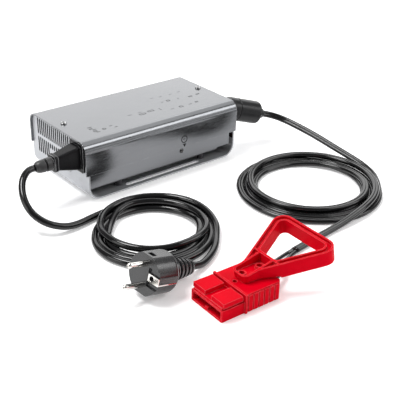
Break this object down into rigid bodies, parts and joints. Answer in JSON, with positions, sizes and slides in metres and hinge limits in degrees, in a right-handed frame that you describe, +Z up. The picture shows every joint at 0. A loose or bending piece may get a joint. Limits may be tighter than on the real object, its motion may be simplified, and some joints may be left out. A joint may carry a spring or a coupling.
{
  "type": "battery charger",
  "caption": "Desktop battery charger in a folded metal case, with a detachable mains lead and a battery lead that ends in a flat two-pole connector with a pull handle",
  "frame": {"origin": "Middle of the underside of the case's base bracket, which is the plane of the floor", "axes": "+X along the case, from the mains inlet toward the battery lead's outlet; -Y toward the front, where the leads lie; +Z up"},
  "size_m": [0.3554, 0.3606, 0.0643],
  "materials": {
    "case_sheet": "silver sheet with a fine grain and a satin sheen",
    "screw_metal": "bright plated steel",
    "black_plastic": "satin black moulding",
    "black_moulding": "soft black moulding with a low sheen",
    "cable_jacket": "smooth black jacket with a soft highlight",
    "contact_metal": "nickel-plated contact",
    "red_plastic": "glossy red moulding",
    "light_lens": "dark tinted lens",
    "board_green": "green solder mask",
    "ferrite": "dull grey-black ferrite",
    "winding_tape": "amber winding tape",
    "copper_coil": "lacquered copper wire",
    "dark_sleeve": "dark shrink sleeve",
    "sink_metal": "plain extruded metal",
    "relay_blue": "blue case",
    "wire_jacket": "thin coloured insulation"
  },
  "bodies": {
    "root": {"base_bracket": "case_sheet", "chassis_tray": "case_sheet", "top_cover": "case_sheet", "cover_screws": "screw_metal", "end_screws": "screw_metal", "tray_spacers": "screw_metal", "tray_screws": "screw_metal", "inlet_socket": "black_plastic", "inlet_blades": "contact_metal", "mains_connector": "black_moulding", "mains_lead_first": "cable_jacket", "mains_coil": "cable_jacket", "mains_lead_last": "cable_jacket", "plug_body": "black_moulding", "plug_pins": "contact_metal", "plug_earth_strip": "contact_metal", "outlet_bush": "black_plastic", "outlet_sleeve": "black_moulding", "battery_lead_first": "cable_jacket", "battery_coil": "cable_jacket", "battery_lead_last": "cable_jacket", "core_rear": "cable_jacket", "core_front": "cable_jacket", "connector_housing": "red_plastic", "connector_contacts": "contact_metal", "pull_handle": "red_plastic", "handle_screws": "screw_metal", "status_light": "light_lens", "circuit_board": "board_green", "board_standoffs": "screw_metal", "board_screws": "screw_metal", "transformer_core": "ferrite", "transformer_winding": "winding_tape", "line_choke": "copper_coil", "smoothing_capacitors": "dark_sleeve", "heat_sink": "sink_metal", "power_transistors": "black_plastic", "relay": "relay_blue", "output_terminals": "black_plastic", "inlet_wires": "wire_jacket", "output_wires": "wire_jacket"}
  },
  "joints": []
}
